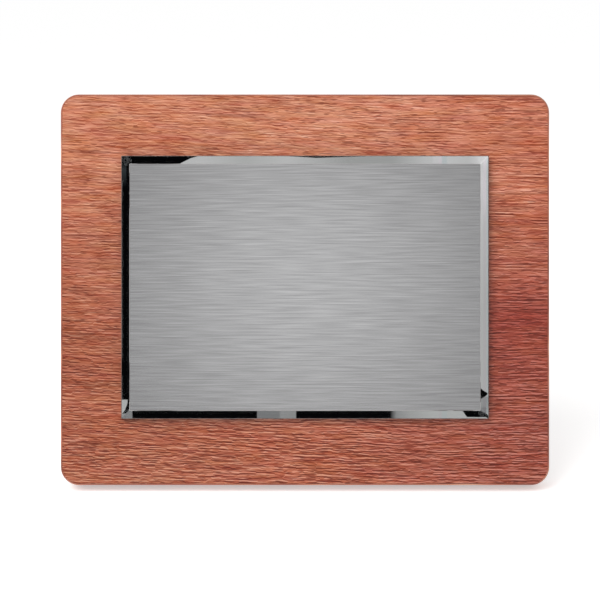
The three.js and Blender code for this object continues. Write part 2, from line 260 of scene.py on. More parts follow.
@dataclass(frozen=True)
class Finish:
    """What the finishes share.

    Args:
        name: the finish's name.
        stance: how the piece stands.
    """

    name: str
    stance: Stance = field(default=BOARD, kw_only=True)

    def surface(self, tree: Tree) -> Inputs:
        """Draws the surface.

        Args:
            tree: the material's node tree.

        Returns:
            The principled shader's inputs.
        """
        raise NotImplementedError(self.name)

    def material(self) -> bpy.types.Material:
        """Builds the material.

        Returns:
            The material: a principled shader that shows the surface.
        """
        material, tree = new_material(self.name)
        shader = add(tree, "BsdfPrincipled", self.surface(tree))
        add(tree, "OutputMaterial", {"Surface": shader})
        return material


@dataclass(frozen=True)
class Streak:
    """One layer of the grain.

    Args:
        length: along the grain, in mm.
        height: across it, in mm.
        share: how strongly it shows in the sheet's middle.
        rightward: how much of the share is gained at the right edge and lost at the left one.
        dashed: whether the layer is level dashes, not lines that run into each other.
    """

    length: float
    height: float
    share: float
    rightward: float = 0.0
    dashed: bool = False


@dataclass(frozen=True)
class Pattern:
    """A noise that picks out places along the grain.

    Args:
        length: its spots' length along the grain, in mm.
        height: their height, in mm.
        shift: moves the noise, so that two patterns differ.
        detail: how many finer layers are added.
    """

    length: float
    height: float
    shift: float
    detail: float


class TintAndShade(Enum):
    """Hex multipliers for the veneer: partly its own slow shifts of colour and partly painted shade."""

    FULL = "#ffffff"
    TAN = "#dbc2b8"
    ROSE = "#e8cec7"
    PINK = "#fff1f1"
    MAUVE = "#d8b1b6"
    RED = "#c68688"


@dataclass(frozen=True)
class TintAndShadeColumn:
    """The veneer's own colour and painted shade up one place of the sheet.

    Args:
        place: from the sheet's middle, in mm.
        stops: pairs of height in mm and tint and shade.
    """

    place: float
    stops: tuple[tuple[float, TintAndShade], ...]


# The wood's slow swing and its short ripple: length, depth and height in mm, and the ripple's shift
SWING = (210.0, 400.0, 70.0)
RIPPLE = (6.0, 300.0, 3.0)
RIPPLE_SHIFT = 3.1
# The swing's height for each millimetre of the ripple's, and the ripple's share at the upper edge
SWING_SHARE = 10.0
UPPER_RIPPLE = 0.2
# Between which heights the ripple and the fibre grow, and how far to the right the tilt reaches
RIPPLE_HEIGHTS = (150.0, 30.0)
FIBRE_HEIGHTS = (175.0, 20.0)
TILT_END = 60.0
# The first layer's shift and the step to the next one's
FIBRE_SHIFTS = (16.7, 7.9)
STREAK_SHIFTS = (1.7, 5.3)
# Patches that turn the hue and the fullness of the colour, by how much, and where in the noise they lie
HUE_PATCHES = Pattern(22.0, 3.5, 47.0, 2.0)
FULL_PATCHES = Pattern(18.0, 3.0, 67.0, 2.0)
HUE_LIMITS = (0.495, 0.507)
FULL_LIMITS = (0.94, 1.06)
PATCH_RANGE = (0.3, 0.7)
# Open pores, the places where they crowd, and long thin lines, with the peaks of the noise that make them
PORES = Pattern(3.8, 0.42, 53.0, 0.0)
CROWDS = Pattern(26.0, 7.0, 59.0, 1.0)
LONG_LINES = Pattern(75.0, 0.9, 61.0, 0.0)
CROWD_SHARE = 0.4
PORE_PEAKS = (0.82, 0.95)
LINE_PEAKS = (0.64, 0.76)
LINE_DARKNESS = 0.7
PORE_DEPTH = -0.8


@dataclass(frozen=True)
class Veneer(Finish):
    """Sliced wood under lacquer: fine streaks along the grain, short dark pores, soft bands and a slow wave.

    Args:
        shades: hex colours from the pores' brown to the palest fibre.
        streaks: the grain's layers.
        fibre: the finest layers, which are kept free of broad patches.
        depth: the layers' size through the piece, in mm.
        spin: degrees that turn the grain's length onto X.
        tilt: how far the streaks fall to the right, in mm for each mm.
        wave: how far the streaks swing, in mm, at the lower edge.
        growth: how much stronger the fibre is at the lower edge than at the upper one.
        pores: how dark the open pores are.
        tones: the sheet's slow drift of colour and painted shade, in columns from left to right.
        roughness: the lacquer's roughness.
        coat: the lacquer's clear layer.
    """

    shades: tuple[str, ...]
    streaks: tuple[Streak, ...]
    fibre: tuple[Streak, ...] = (Streak(7.0, 0.8, 0.8),)
    depth: float = 60.0
    spin: float = 0.0
    tilt: float = 0.0
    wave: float = 0.0
    growth: float = 1.0
    pores: float = 0.5
    tones: tuple[TintAndShadeColumn, ...] = ()
    roughness: float = 0.42
    coat: float = 0.25

    def bend(self, flat: Canvas) -> Canvas:
        """Moves the pattern up and down, so that its streaks wander.

        The height gains a slow swing over the whole board, a short ripple that grows towards the lower edge,
        and a steady tilt at the left.

        Args:
            flat: the canvas.

        Returns:
            The canvas with its point moved.
        """
        tree = flat.tree
        slow = flat.noise(SWING, 1.0)
        ripple = flat.noise(RIPPLE, 1.0, shift=RIPPLE_SHIFT)
        axes = add(tree, "SeparateXYZ", {0: flat.place})
        growing = span(axes.outputs["Z"], *RIPPLE_HEIGHTS, UPPER_RIPPLE * self.wave, self.wave)
        downward = add(tree, "MapRange", growing)
        swing = add(tree, "Math", {"operation": "MULTIPLY", 0: slow, 1: SWING_SHARE * self.wave})
        both = add(tree, "Math", {"operation": "MULTIPLY_ADD", 0: ripple, 1: downward, 2: swing})
        leftward = add(tree, "Math", {"operation": "MINIMUM", 0: axes.outputs["X"], 1: TILT_END})
        tilted = add(tree, "Math", {"operation": "MULTIPLY_ADD", 0: leftward, 1: self.tilt, 2: both})
        offset = add(tree, "CombineXYZ", {"Z": tilted})
        return Canvas(tree, add(tree, "VectorMath", {"operation": "ADD", 0: flat.place, 1: offset}))

    def tone(self, flat: Canvas, bent: Canvas) -> Node:
        """Adds up the grain: the fibre, which grows downwards, plus each layer times its share.

        Args:
            flat: the canvas before it was bent.
            bent: the canvas that the layers are drawn on.

        Returns:
            The tone, which averages a half.
        """
        tree = flat.tree
        axes = add(tree, "SeparateXYZ", {0: flat.place})
        first, step = FIBRE_SHIFTS
        total = 0.0
        for number, layer in enumerate(self.fibre):
            size = (layer.length, self.depth, layer.height)
            lines = bent.level_streaks(size, first + step * number, layer.dashed)
            limits = (layer.share * (1.0 - layer.rightward), layer.share * (1.0 + layer.rightward))
            share = add(tree, "MapRange", span(axes.outputs["X"], -HALF_BOARD, HALF_BOARD, *limits))
            total = add(tree, "Math", {"operation": "MULTIPLY_ADD", 0: lines, 1: share, 2: total})
        growth = add(tree, "MapRange", span(axes.outputs["Z"], *FIBRE_HEIGHTS, 1.0, self.growth))
        level = 0.5 - 0.5 * sum(streak.share for streak in self.streaks)
        total = add(tree, "Math", {"operation": "MULTIPLY_ADD", 0: total, 1: growth, 2: level})
        first, step = STREAK_SHIFTS
        for number, streak in enumerate(self.streaks):
            value = bent.noise((streak.length, self.depth, streak.height), 1.0, shift=first + step * number)
            total = add(tree, "Math", {"operation": "MULTIPLY_ADD", 0: value, 1: streak.share, 2: total})
        return total

    def paint_tint_and_shade(self, flat: Canvas, colour: Node) -> Node:
        """Multiplies a colour by the sheet's tones, which are partly painted shade: each column's at this
        height, on to the next one's.

        Args:
            flat: the canvas.
            colour: the colour.

        Returns:
            The multiplied colour, or the same one where the sheet has no tones.
        """
        if not self.tones:
            return colour
        tree = flat.tree
        axes = add(tree, "SeparateXYZ", {0: flat.place})
        top = self.tones[0].stops[-1][0]
        height = add(tree, "Math", {"operation": "DIVIDE", 0: axes.outputs["Z"], 1: top})
        columns = []
        for column in self.tones:
            columns.append(add(tree, "ValToRGB", {"Fac": height}))
            set_stops(columns[-1], [(min(up / top, 1.0), tint.value) for up, tint in column.stops])
        sheet = columns[0]
        for before, column, shades in zip(self.tones, self.tones[1:], columns[1:]):
            between = span(axes.outputs["X"], before.place, column.place)
            share = add(tree, "MapRange", {"interpolation_type": "SMOOTHSTEP"} | between)
            sheet = add(tree, "Mix", {"data_type": "RGBA", 0: share, 6: sheet, 7: shades})
        return add(tree, "Mix", {"data_type": "RGBA", "blend_type": "MULTIPLY", 0: 1.0, 6: colour, 7: sheet})

    def picked(self, bent: Canvas, pattern: Pattern) -> Node:
        """A pattern's noise, as deep through the piece as the grain's layers."""
        return bent.noise((pattern.length, self.depth, pattern.height), pattern.detail, shift=pattern.shift)

    def surface(self, tree: Tree) -> Inputs:
        """Tints the sliced wood by its streaks, and keeps the lacquer over them nearly level.

        Args:
            tree: the material's node tree.

        Returns:
            The shader's inputs.
        """
        flat = Canvas.on(tree, self.stance, self.spin)
        bent = self.bend(flat)
        tone = self.tone(flat, bent)
        ramp = add(tree, "ValToRGB", {"Fac": tone})
        set_stops(ramp, list(zip(np.linspace(0.0, 1.0, len(self.shades)), self.shades)))

        # Patches a centimetre or two long are pinker or more orange, and others fuller or greyer in colour
        hue = add(tree, "MapRange", span(self.picked(bent, HUE_PATCHES), *PATCH_RANGE, *HUE_LIMITS))
        fullness = add(tree, "MapRange", span(self.picked(bent, FULL_PATCHES), *PATCH_RANGE, *FULL_LIMITS))
        colour = add(tree, "HueSaturation", {"Color": ramp, "Hue": hue, "Saturation": fullness})

        # Open pores: short dark dashes where a fine noise peaks, in some places more than in others
        crowd = self.picked(bent, CROWDS)
        fine = self.picked(bent, PORES)
        peak = add(tree, "Math", {"operation": "MULTIPLY_ADD", 0: crowd, 1: CROWD_SHARE, 2: fine})
        pore = add(tree, "MapRange", span(peak, *PORE_PEAKS, 0.0, self.pores))
        # Here and there a long thin line runs dark along the grain
        long_line = self.picked(bent, LONG_LINES)
        line = add(tree, "MapRange", span(long_line, *LINE_PEAKS, 0.0, LINE_DARKNESS * self.pores))
        for share in (pore, line):
            colour = add(tree, "Mix", {"data_type": "RGBA", 0: share, 6: colour, 7: linear(self.shades[0])})

        relief = add(tree, "Math", {"operation": "MULTIPLY_ADD", 0: pore, 1: PORE_DEPTH, 2: tone})
        bump = add(tree, "Bump", {"Strength": 0.2, "Distance": 0.04 * MM, "Height": relief})
        lacquer = {"Roughness": self.roughness, "IOR": 1.5, "Coat Weight": self.coat, "Coat Roughness": 0.16}
        return lacquer | {"Base Color": self.paint_tint_and_shade(flat, colour), "Normal": bump}


@dataclass(frozen=True)
class Fibreboard(Finish):
    """Fibreboard, pressed from fine wood fibre: a warm brown with tiny pale and dark flecks."""

    name: str = "medium_density_fibreboard"
    shade: str = "#a5815a"
    fleck: str = "#7d5d3d"
    fleck_size: tuple[float, float, float] = (0.7, 0.4, 0.6)
    fleck_limits: tuple[float, float] = (0.3, 0.62)

    def surface(self, tree: Tree) -> Inputs:
        """Flecks the board at about half a millimetre and leaves it rough from the saw.

        Args:
            tree: the material's node tree.

        Returns:
            The shader's inputs.
        """
        flecks = Canvas.on(tree, self.stance).noise(self.fleck_size, 3.0, 0.65)
        ramp = add(tree, "ValToRGB", {"Fac": flecks})
        set_stops(ramp, list(zip(self.fleck_limits, (self.fleck, self.shade))))
        bump = add(tree, "Bump", {"Strength": 0.4, "Distance": 0.1 * MM, "Height": flecks})
        return {"Base Color": ramp, "Roughness": 0.85, "IOR": 1.45, "Normal": bump}


@dataclass(frozen=True)
class BrushedAluminium(Finish):
    """Aluminium sheet brushed along its length: hairlines run sideways and spread its gloss up and down.

    Real hairlines are about 0.05 mm high. These are 0.55 and 1.1 mm, so that they show at this size.

    Args:
        pale, deep: the hex colours of the lines.
        uv_map: the layout whose first axis lies across the lines.
        fine, broad: the length, depth and height of the two kinds of line.
        fine_share, broad_share: how strongly they show.
        limits: the sum's darkest and palest value.
    """

    name: str = "brushed_aluminium"
    pale: str = "#dededf"
    deep: str = "#a9a9aa"
    uv_map: str = "brushing"
    fine: tuple[float, float, float] = (19.0, 40.0, 0.55)
    broad: tuple[float, float, float] = (19.0, 40.0, 1.1)
    fine_share: float = 0.24
    broad_share: float = 0.3
    limits: tuple[float, float] = (-0.15, 0.45)

    def surface(self, tree: Tree) -> Inputs:
        """Draws the hairlines in colour, in gloss and in relief.

        Args:
            tree: the material's node tree.

        Returns:
            The shader's inputs.
        """
        canvas = Canvas.on(tree, self.stance)
        fine = canvas.level_streaks(self.fine, 3.0, False)
        broad = canvas.noise(self.broad, 0.0, shift=5.0)
        finer = add(tree, "Math", {"operation": "MULTIPLY", 0: fine, 1: self.fine_share})
        lines = add(tree, "Math", {"operation": "MULTIPLY_ADD", 0: broad, 1: self.broad_share, 2: finer})
        share = add(tree, "MapRange", span(lines, *self.limits))
        tones = {6: linear(self.deep), 7: linear(self.pale)}
        colour = add(tree, "Mix", {"data_type": "RGBA", 0: share} | tones)
        rough = add(tree, "MapRange", span(lines, *self.limits, 0.24, 0.2))
        bump = add(tree, "Bump", {"Strength": 0.12, "Distance": 0.01 * MM, "Height": lines})
        tangent = add(tree, "Tangent", {"direction_type": "UV_MAP", "uv_map": self.uv_map})
        metal = {"Metallic": 1.0, "Anisotropic": 0.7, "Tangent": tangent}
        return metal | {"Base Color": colour, "Roughness": rough, "Normal": bump}


@dataclass(frozen=True)
class CutMetal(Finish):
    """Metal left bright by a cutter or a plating bath: even, with a slight bloom and fine rubbed marks.

    Args:
        pale: the rubbed parts' hex colour.
        deep: the bloomed parts' hex colour.
        smooth: the rubbed parts' roughness.
        dull: the bloomed parts' roughness.
        patch: the bloom's patches, in mm.
    """

    pale: str
    deep: str
    smooth: float
    dull: float
    patch: float

    def surface(self, tree: Tree) -> Inputs:
        """Draws soft patches a few mm wide, with fine marks at a tenth of that size.

        Args:
            tree: the material's node tree.

        Returns:
            The shader's inputs.
        """
        canvas = Canvas.on(tree, self.stance)
        mark = 0.1 * self.patch
        bloom = canvas.noise((self.patch,) * 3, 3.0, 0.6)
        marks = canvas.noise((self.patch, mark, mark), 2.0, 0.6, shift=6.0)
        cover = add(tree, "Math", {"operation": "MULTIPLY_ADD", 0: marks, 1: 0.5, 2: bloom})
        share = add(tree, "MapRange", span(cover, 0.5, 1.0))
        tones = {6: linear(self.pale), 7: linear(self.deep)}
        colour = add(tree, "Mix", {"data_type": "RGBA", 0: share} | tones)
        rough = add(tree, "MapRange", span(cover, 0.5, 1.0, self.smooth, self.dull))
        bump = add(tree, "Bump", {"Strength": 0.15, "Distance": 0.02 * MM, "Height": cover})
        return {"Metallic": 1.0, "Base Color": colour, "Roughness": rough, "Normal": bump}


@dataclass(frozen=True)
class Glass(Finish):
    """Float glass: clear where it is polished, and frosted where its edge was ground.

    Args:
        tint: the hex colour of light that has passed through.
        frost: the ground surface's roughness, 0 for a polished one.
    """

    tint: str
    frost: float = 0.0

    def surface(self, tree: Tree) -> Inputs:
        """Lets light through, with the grinding wheel's fine scratches along a frosted edge.

        Args:
            tree: the material's node tree.

        Returns:
            The shader's inputs.
        """
        tint = linear(self.tint)
        inputs = {"Base Color": tint, "Roughness": self.frost, "IOR": 1.52, "Transmission Weight": 1.0}
        if self.frost:
            marks = Canvas.on(tree, self.stance).noise((6.0, 0.25, 6.0), 3.0, 0.7)
            inputs["Normal"] = add(tree, "Bump", {"Strength": 0.3, "Distance": 0.02 * MM, "Height": marks})
        return inputs


@dataclass(frozen=True)
class Silvering(Finish):
    """The silver layer on the back of the glass: a nearly perfect reflector."""

    name: str = "mirror_silver"
    shade: str = "#f3f4f5"

    def surface(self, tree: Tree) -> Inputs:
        """Gives the silver the faint unevenness of a chemically laid coat.

        Args:
            tree: the material's node tree.

        Returns:
            The shader's inputs.
        """
        cloud = Canvas.on(tree, self.stance).noise((30.0, 30.0, 30.0))
        rough = add(tree, "MapRange", span(cloud, 0.0, 1.0, 0.005, 0.02))
        return {"Base Color": linear(self.shade), "Metallic": 1.0, "Roughness": rough}


@dataclass(frozen=True)
class Moulded(Finish):
    """A soft or painted surface with a fine even grain, such as rubber, foam, acrylic glue or backing paint.

    Args:
        pale: the grain's hex colour.
        deep: the hollows' hex colour.
        grain: the grain's size in mm.
        height: the grain's height in mm.
        roughness: the surface's roughness.
        wear: how many grains wide the worn patches are.
    """

    pale: str
    deep: str
    grain: float
    height: float
    roughness: float
    wear: float = 14.0

    def surface(self, tree: Tree) -> Inputs:
        """Draws the grain and its wear in colour, and the grain in relief.

        Args:
            tree: the material's node tree.

        Returns:
            The shader's inputs.
        """
        canvas = Canvas.on(tree, self.stance)
        grain = canvas.noise((self.grain,) * 3, 2.0, 0.6)
        worn = canvas.noise((self.wear * self.grain,) * 3, shift=9.0)
        cover = add(tree, "Math", {"operation": "MULTIPLY_ADD", 0: worn, 1: 0.8, 2: grain})
        share = add(tree, "MapRange", span(cover, 0.6, 1.2))
        tones = {6: linear(self.deep), 7: linear(self.pale)}
        colour = add(tree, "Mix", {"data_type": "RGBA", 0: share} | tones)
        bump = add(tree, "Bump", {"Strength": 0.5, "Distance": self.height * MM, "Height": grain})
        return {"Base Color": colour, "Roughness": self.roughness, "IOR": 1.5, "Normal": bump}


FACE_SHADES = ("#76290a", "#a75336", "#cb7f60", "#e39a7b", "#f8c2a7")
FACE_STREAKS = (Streak(9.0, 1.1, 0.3), Streak(12.0, 4.5, 0.52), Streak(110.0, 22.0, 0.45))
# The tones are partly the wood's own colour and partly painted shade, paler towards the top and darker on the
# right
# The left is brown and then pale upwards, and the right is darkest and reddest at mid height
FACE_TINT_AND_SHADE = (
    TintAndShadeColumn(-95.0, ((28.0, TintAndShade.TAN), (102.0, TintAndShade.TAN), (174.0, TintAndShade.FULL))),
    TintAndShadeColumn(-10.0, ((28.0, TintAndShade.ROSE), (111.0, TintAndShade.ROSE), (174.0, TintAndShade.FULL))),
    TintAndShadeColumn(112.0, ((28.0, TintAndShade.MAUVE), (88.0, TintAndShade.RED), (149.0, TintAndShade.PINK))),
)
EDGE_SHADES = ("#7a4437", "#9c5b49", "#b8705a", "#cb866c", "#dba489")
BACK_SHADES = ("#4d281e", "#74422f", "#915a42", "#a97152", "#c08d6b")
LEG_SHADES = ("#2a1712", "#452820", "#5a382b", "#6d4735", "#836047")


def dress(nodes: Iterable[str], finish: Finish) -> None:
    """Gives CAD nodes a finish.

    Args:
        nodes: the nodes' names.
        finish: the finish for all their slots.
    """
    material = finish.material()
    for name in nodes:
        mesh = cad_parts[name].data
        if not mesh.materials:
            mesh.materials.append(material)
        for number in range(len(mesh.materials)):
            mesh.materials[number] = material
        LOG.info("dressed %s in %s", name, material.name)


def mesh_object(name: str, points: np.ndarray, faces: Iterable[Sequence[int]]) -> bpy.types.Object:
    """Makes an object from points in the row frame and the faces between them.

    Args:
        name: the piece's name.
        points: rows of x, y, z in metres.
        faces: the corners of each face, anticlockwise from outside.

    Returns:
        The object, at the origin.
    """
    mesh = bpy.data.meshes.new(name)
    mesh.from_pydata(points.tolist(), [], [tuple(int(i) for i in face) for face in faces])
    mesh.update()
    made = bpy.data.objects.new(name, mesh)
    bpy.context.scene.collection.objects.link(made)
    return made


def clad(piece: bpy.types.Object, finishes: Sequence[Finish], slots: Sequence[int]) -> None:
    """Gives a new piece its finishes, face by face.

    Args:
        piece: the piece.
        finishes: its finishes.
        slots: the finish's number for each face.
    """
    for finish in finishes:
        piece.data.materials.append(finish.material())
    piece.data.polygons.foreach_set("material_index", slots)
    LOG.info("built %s with %d faces", piece.name, len(piece.data.polygons))


# A square's corners from the lower left, anticlockwise as seen from the front
SQUARE = np.array([(-1, -1), (1, -1), (1, 1), (-1, 1)], float)


def mitred(width: float, height: float, profile: Sequence[tuple[float, float]]) -> np.ndarray:
    """Carries a profile round a rectangle about the face's middle, with mitred corners.

    Each profile point (inset, depth) becomes four corners: half the width less the inset, half the height
    less the inset, and the depth, in the square's order.

    Args:
        width: the rectangle's width.
        height: its height.
        profile: inset and depth of each point, in mm.

    Returns:
        Rows of x, y, z in the board's mm, four for each profile point.
    """
    inset, depth = np.array(profile, float).T
    x = SQUARE[:, 0] * (0.5 * width - inset[:, None])
    z = SQUARE[:, 1] * (0.5 * height - inset[:, None]) + FACE_MIDDLE
    y = np.repeat(depth[:, None], 4, axis=1)
    return np.stack([x, y, z], axis=-1).reshape(-1, 3)


def mitred_faces(rings: int) -> tuple[list[list[int]], list[list[int]]]:
    """The faces between the rings of a mitred profile, and its two ends.

    Args:
        rings: how many profile points there are.

    Returns:
        The quads of each step, four a step, and the first and last ring's own faces.
    """
    ring = np.arange(rings - 1)[:, None] * 4
    corner = np.arange(4)
    after = (corner + 1) % 4
    quads = np.stack([ring + corner, ring + 4 + corner, ring + 4 + after, ring + after], axis=-1)
    last = (rings - 1) * 4 + corner[::-1]
    return quads.reshape(-1, 4).tolist(), [corner.tolist(), last.tolist()]


def grid_faces(columns: int, rows: int) -> list[list[int]]:
    """The quads of a grid whose points run along each row in turn, anticlockwise from the front.

    Args:
        columns, rows: how many quads there are each way.

    Returns:
        The four corners of each quad: the first one, its neighbour, and the two above them.
    """
    first = (np.arange(rows)[:, None] * (columns + 1) + np.arange(columns)).reshape(-1, 1)
    return (first + np.array([0, 1, columns + 2, columns + 1])).tolist()


@dataclass
class VeneeredBoard:
    """The board: a fibreboard core, a mahogany face, a plainer back and a darker band round the edge."""

    def dress(self) -> None:
        """Gives the core, both veneers and the edge band their finishes."""
        face = Veneer(
            "lacquered_mahogany_face",
            FACE_SHADES,
            FACE_STREAKS,
            fibre=(Streak(20.0, 0.78, 0.43, 0.35), Streak(4.2, 0.6, 0.28, dashed=True)),
            tilt=0.035,
            wave=0.5,
            growth=2.5,
            pores=0.7,
            tones=FACE_TINT_AND_SHADE,
        )
        band = Veneer(
            "lacquered_mahogany_edge",
            EDGE_SHADES,
            (Streak(40.0, 40.0, 0.8),),
            fibre=(Streak(16.0, 16.0, 0.9),),
            depth=0.8,
            pores=0.2,
            roughness=0.38,
            coat=0.4,
        )
        grain = (Streak(18.0, 0.7, 1.2), Streak(30.0, 1.8, 0.9), Streak(80.0, 9.0, 0.6))
        back = Veneer("satin_mahogany_back", BACK_SHADES, grain, wave=1.5, roughness=0.55, coat=0.0)
        dress(["front_veneer"], face)
        dress(["edge_band"], band)
        dress(["back_veneer"], back)
        dress(["board_core"], Fibreboard())


@dataclass
class BevelledMirror:
    """The mirror: float glass with a polished bevel, a swiped arris and ground sides, silvered on its back.

    Args:
        width, height: its outer size in mm.
        front, back: the depths of its flat and of its silver.
        bevel: the bevel's width.
        drop: how far the bevel falls.
        arris: the width of the ground strip between the bevel and the side.
        seam: the small chamfer at the back.
        index: the glass's refractive index.
        passed_on: the share of light that comes back out of the glass from the silver.
    """

    width: float = 190.0
    height: float = 136.0
    front: float = -20.9
    back: float = -17.9
    bevel: float = 4.3
    drop: float = 0.9
    arris: float = 0.06
    seam: float = 0.3
    index: float = 1.52
    passed_on: float = 0.84

    def on_bevel(self, side: BevelSide, places: np.ndarray) -> np.ndarray:
        """Points on a bevel: its outer edge, less the distance in, plus the distance along, down the slope.

        Args:
            side: the bevel.
            places: rows of along and across in mm.

        Returns:
            Rows of x, y, z in the board's mm.
        """
        along, across = places.T
        right, up = side.value
        half = 0.5 * (self.width * abs(right) + self.height * abs(up))
        x = right * (half - across) + abs(up) * along
        z = up * (half - across) + abs(right) * along + FACE_MIDDLE
        y = self.front + self.drop * (1 - across / self.bevel)
        return np.stack([x, y, z], axis=-1)

    def corner(self, side: BevelSide, end: float) -> np.ndarray:
        """The middle of the mitre at one end of a bevel, as a row of along and across.

        Args:
            side: the bevel.
            end: 1 for its right or upper end, and -1 for the other.

        Returns:
            The row.
        """
        length = self.width if side in (TOP, BOTTOM) else self.height
        return np.array([[0.5 * end * (length - self.bevel), 0.5 * self.bevel]])

    def bevel_normal(self, side: BevelSide) -> np.ndarray:
        """A bevel's unit normal, leaning out by the bevel's slope."""
        slope = math.atan2(self.drop, self.bevel)
        right, up = side.value
        return np.array([right * math.sin(slope), -math.cos(slope), up * math.sin(slope)])

    def profile(self) -> list[tuple[float, float]]:
        """Inset and depth from the flat's edge, down the bevel, over arris and side, to the silver."""
        nose = self.front + self.drop
        lip = nose - self.arris * self.drop / self.bevel
        side = [(0.0, nose + 0.5 * self.arris), (0.0, self.back - self.seam)]
        return [(self.bevel, self.front), (self.arris, lip), *side, (self.seam, self.back)]

    def build(self) -> None:
        """Builds the mirror in place of the plain glass: one closed body, clear, ground and silvered."""
        profile = self.profile()
        quads, ends = mitred_faces(len(profile))
        points = mitred(self.width, self.height, profile)
        mirror = mesh_object("bevelled_mirror", BOARD.to_row(points), quads + ends)
        clear = Glass("clear_float_glass", "#fcfcfb")
        # The ground edge's warm pink-brown tint is painted reflection of the wood round the mirror
        ground = Glass("ground_glass_edge", "#d8bcae", frost=0.5)
        # Four faces for each step: the bevel is clear, the arris, side and seam are ground
        slots = [0] * 4 + [1] * (4 * (len(profile) - 2)) + [0, 2]
        clad(mirror, (clear, ground, Silvering()), slots)
        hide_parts("mirror_glass")
        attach(mirror, "plaque")

    def dress(self) -> None:
        """Gives the backing film and the foam tapes their finishes."""
        foam = Moulded("white_foam_tape", "#e6e5e0", "#c6c4bd", 0.35, 0.15, 0.9)
        dress(["mirror_backing_film"], Moulded("grey_backing_paint", "#7e8284", "#6c7072", 0.5, 0.02, 0.6))
        dress([f"mirror_tape_{side}" for side in ("top", "bottom", "left", "right")], foam)


@dataclass
class FacePlate:
    """The blank plate: thin brushed aluminium with a fine chamfer and sheared edges, stuck to the mirror.

    Args:
        width, height: its size in mm.
        front, back: the depths of its two faces.
        cut: the width of the chamfer.
        fall: how far the chamfer falls.
        columns, rows: the face's grid.
    """

    width: float = 181.0
    height: float = 127.2
    front: float = -22.05
    back: float = -21.25
    cut: float = 0.15
    fall: float = 0.15
    columns: int = 24
    rows: int = 16

    def face_grid(self) -> np.ndarray:
        """The brushed face as a grid between the chamfer's inner edges.

        x runs from minus to plus half the width less the cut, z likewise over the height, and y is the
        front's depth.

        Returns:
            The points, along each row in turn from the lowest.
        """
        x = np.linspace(-0.5, 0.5, self.columns + 1) * (self.width - 2 * self.cut)
        z = np.linspace(-0.5, 0.5, self.rows + 1) * (self.height - 2 * self.cut) + FACE_MIDDLE
        across, up = np.meshgrid(x, z)
        return np.stack([across, np.full_like(across, self.front), up], axis=-1).reshape(-1, 3)

    def build(self) -> None:
        """Builds the plate in place of the plain one: its face, chamfer, sides and back."""
        side = [(0.0, self.front + self.fall), (0.0, self.back)]
        profile = [(self.cut, self.front), *side, (self.cut, self.back)]
        quads, ends = mitred_faces(len(profile))
        face = grid_faces(self.columns, self.rows)
        grid = self.face_grid()
        points = np.vstack([grid, mitred(self.width, self.height, profile)])
        rim = [[i + len(grid) for i in corners] for corners in (*quads, ends[1])]
        plate = mesh_object("brushed_face_plate", BOARD.to_row(points), face + rim)
        self.add_brushing_map(plate, points)
        bright = CutMetal("diamond_cut_aluminium", "#a4a4a4", "#949495", 0.3, 0.38, 3.0)
        dull = CutMetal("sheared_aluminium_edge", "#454546", "#333334", 0.5, 0.6, 1.2)
        # Four faces for each step of the rim: the chamfer is bright, and the sides and the back are dull,
        # their near-black grey painted shade
        slots = [0] * len(face) + [1] * 4 + [2] * (len(rim) - 4)
        clad(plate, (BrushedAluminium(), bright, dull), slots)
        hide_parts("brushed_plate")
        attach(plate, "plaque")

    def add_brushing_map(self, plate: bpy.types.Object, points: np.ndarray) -> None:
        """Lays out the plate with its first axis up the board, across the hairlines.

        Args:
            plate: the plate.
            points: its corners in the board's mm.
        """
        mesh = plate.data
        corners = np.zeros(len(mesh.loops), np.int32)
        mesh.loops.foreach_get("vertex_index", corners)
        up = (points[corners, 2] - FACE_MIDDLE) / self.height + 0.5
        along = points[corners, 0] / self.width + 0.5
        layer = mesh.uv_layers.new(name=BrushedAluminium.uv_map)
        layer.data.foreach_set("uv", np.stack([up, along], axis=-1).astype(np.float32).ravel())

    def dress(self) -> None:
        """Gives the adhesive sheet its finish."""
        dress(["plate_adhesive"], Moulded("clear_acrylic_adhesive", "#d8d8d4", "#c2c2be", 0.8, 0.01, 0.3))


@dataclass
class BackFittings:
    """What is fixed to the board's back: the keyhole hanger, the hinge, the screws and the wall bumpers."""

    def dress(self) -> None:
        """Gives the plated steel and the rubber their finishes."""
        steel = CutMetal("zinc_plated_steel", "#c9ccce", "#a9abac", 0.28, 0.42, 5.0)
        screws = CutMetal("zinc_plated_screws", "#d2d4d3", "#a6a7a6", 0.25, 0.38, 1.6)
        rubber = Moulded("moulded_black_rubber", "#2a2a2b", "#19191a", 0.35, 0.03, 0.62)
        dress(["keyhole_hanger", "hinge_board_leaf", "hinge_pin"], steel)
        dress([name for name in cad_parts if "screw" in name], screws)
        dress(["wall_bumper_left", "wall_bumper_right"], rubber)


@dataclass
class EaselStrut:
    """The leg that the plaque stands on, with its hinge leaf, rivets and foot pads."""

    def dress(self) -> None:
        """Gives the leg, the leaf, the rivets and the pads their finishes."""
        leg = Veneer(
            "stained_beech_leg",
            LEG_SHADES,
            (Streak(20.0, 0.8, 1.1), Streak(14.0, 1.6, 0.6), Streak(60.0, 7.0, 0.6)),
            stance=STRUT,
            depth=1.4,
            spin=90.0,
            roughness=0.5,
            coat=0.1,
        )
        steel = CutMetal("zinc_plated_leaf", "#c9ccce", "#a9abac", 0.28, 0.42, 5.0, stance=STRUT)
        rivets = CutMetal("nickel_plated_rivets", "#d6d3cc", "#b5b1a9", 0.18, 0.3, 2.0, stance=STRUT)
        rubber = Moulded("soft_rubber_pads", "#2c2c2d", "#1a1a1b", 0.3, 0.03, 0.7, stance=STRUT)
        dress(["strut_leg"], leg)
        dress(["hinge_leg_leaf"], steel)
        dress(["leg_rivet_left", "leg_rivet_right"], rivets)
        dress(["foot_pad_left", "foot_pad_right"], rubber)


